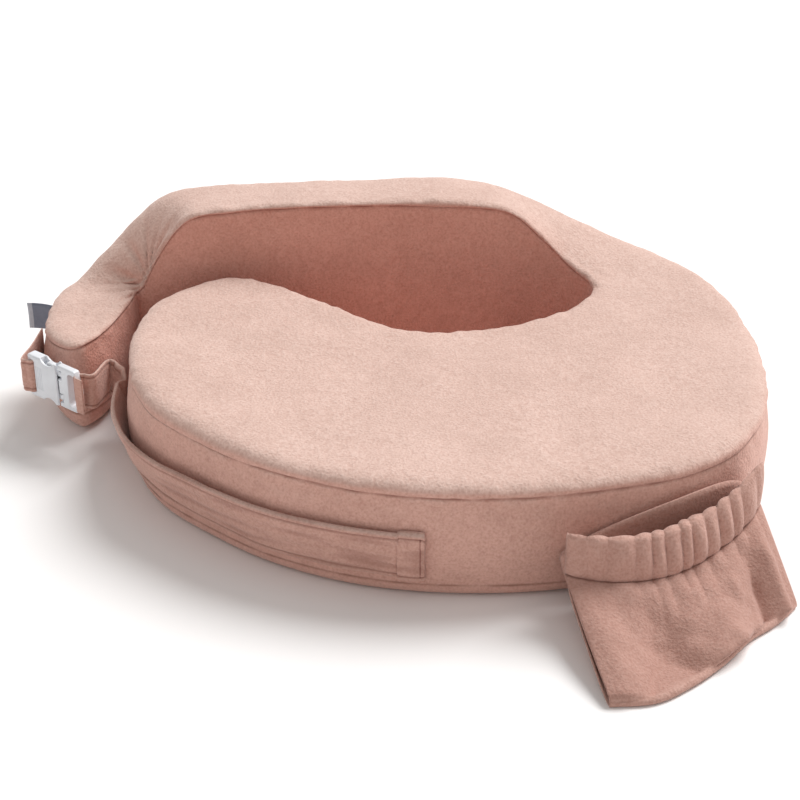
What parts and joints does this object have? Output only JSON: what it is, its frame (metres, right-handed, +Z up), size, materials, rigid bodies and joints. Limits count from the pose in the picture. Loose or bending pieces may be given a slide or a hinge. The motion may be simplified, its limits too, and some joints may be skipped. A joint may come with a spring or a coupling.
{
  "type": "nursing pillow",
  "caption": "C-shaped wrap-around nursing pillow: firm foam platform with a raised backrest, a bending arm, a wrap strap with side release buckle, a zipped plush cover and a gathered pocket.",
  "frame": {"origin": "centre of the underside of the whole pillow's box, on the surface it rests on", "axes": "+X along the pillow's width, away from the arm and buckle; +Y from the nursing platform towards the raised backrest; +Z up"},
  "size_m": [0.6358, 0.587, 0.1702],
  "materials": {
    "cover": "dusty pink plush, short dense pile",
    "cover_inside": "the same plush on the inner wall, a little darker",
    "strap": "strap folded from the cover's plush",
    "foam": "upholstery foam, open cell",
    "buckle": "white moulded nylon, satin",
    "tag": "woven ribbon tag, plain",
    "label": "blank satin care label",
    "zip_tape": "woven zip tape",
    "zip_teeth": "moulded zip, satin",
    "elastic": "knitted elastic"
  },
  "bodies": {
    "base": {"backrest_foam": "foam", "care_label": "label", "cover_inner_band": "cover_inside", "cover_outer_band": "cover", "cover_top_panel": "cover", "cover_underside_panel": "cover", "platform_foam": "foam", "pocket_bag": "cover", "pocket_elastic": "elastic", "pocket_hem": "cover", "strap_end_box": "strap", "wrap_strap": "strap", "zip_stop_end": "zip_teeth", "zip_stop_start": "zip_teeth", "zip_tape_lower": "zip_tape", "zip_tape_upper": "zip_tape", "zip_teeth": "zip_teeth"},
    "arm": {"arm_foam": "foam", "arm_inner_band": "cover_inside", "arm_outer_band": "cover", "arm_strap": "strap", "arm_top_panel": "cover", "arm_underside_panel": "cover", "buckle_socket": "buckle", "strap_loop": "strap", "side_tag": "tag"},
    "plug": {"buckle_plug": "buckle"},
    "prong_upper": {"buckle_prong_upper": "buckle"},
    "prong_lower": {"buckle_prong_lower": "buckle"},
    "slider": {"zip_slider": "zip_teeth"},
    "pull": {"zip_pull": "zip_teeth"}
  },
  "joints": [
    {"name": "arm_open", "type": "hinge", "parent": "base", "child": "arm", "pos_m": [-0.29192, 0.22864, 0], "axis": [0, 0, -1], "range_deg": [0, 20]},
    {"name": "buckle_slide", "type": "slide", "parent": "arm", "child": "plug", "axis": [0.7193, -0.6947, 0], "range_m": [0, 0.024], "deforming": ["strap_loop"]},
    {"name": "prong_upper_squeeze", "type": "hinge", "parent": "plug", "child": "prong_upper", "pos_m": [-0.27762, 0.10113, 0.0692], "axis": [-0.6947, -0.7193, 0], "range_deg": [0, 10], "stiffness_Nm_per_rad": 0.02},
    {"name": "prong_lower_squeeze", "type": "hinge", "parent": "plug", "child": "prong_lower", "pos_m": [-0.27762, 0.10113, 0.0468], "axis": [0.6947, 0.7193, 0], "range_deg": [0, 10], "stiffness_Nm_per_rad": 0.02},
    {"name": "zip_slide", "type": "slide", "parent": "base", "child": "slider", "axis": [-1, 0, 0], "range_m": [0, 0.185]},
    {"name": "zip_pull_flip", "type": "hinge", "parent": "slider", "child": "pull", "pos_m": [0.07318, 0.2921, 0.045], "axis": [0, 0, -1], "range_deg": [0, 150]}
  ],
  "couplings": [
    {"joint": "prong_lower_squeeze", "follows": "prong_upper_squeeze", "ratio": 1}
  ]
}
